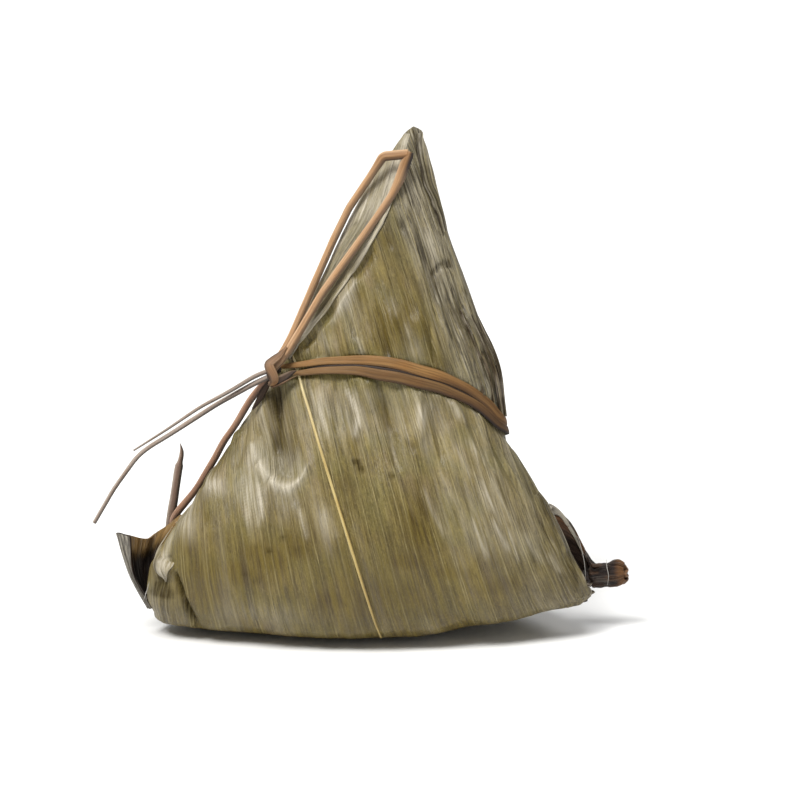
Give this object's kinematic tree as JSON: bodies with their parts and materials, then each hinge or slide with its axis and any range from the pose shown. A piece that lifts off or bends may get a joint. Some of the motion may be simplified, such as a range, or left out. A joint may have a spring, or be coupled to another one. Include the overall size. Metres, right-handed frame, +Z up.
{
  "type": "zongzi rice dumpling",
  "caption": "Pyramid-shaped rice dumpling wrapped in bamboo leaf, with curled and rolled leaf ends at its corners, tied round the waist with strips of grass in a loop bow.",
  "frame": {"origin": "centre of the small flat spot under the parcel that it rests on", "axes": "+Z up, towards the parcel's tip; the broad front face with the leaf's midrib looks along -Y; +X runs from the curled corner to the rolled tail"},
  "size_m": [0.1004, 0.065, 0.0935],
  "materials": {
    "leaf": "satin cooked bamboo leaf, olive brown with fine lengthwise veins",
    "leaf_inside": "dark brown leaf at the rolled and folded ends",
    "grass": "satin split grass strip, tan brown",
    "grass_dry": "matt dry grass strip, pale grey brown"
  },
  "bodies": {
    "root": {"leaf_parcel": "leaf", "corner_curl": "leaf", "tail_flap": "leaf_inside", "tail_roll": "leaf_inside", "knot": "grass", "knot_tail": "leaf_inside", "waist_turn_upper": "grass", "waist_turn_lower": "grass", "hanging_loop": "grass", "loose_end_short": "grass_dry", "loose_end_long": "grass_dry", "tucked_end": "grass"}
  },
  "joints": []
}
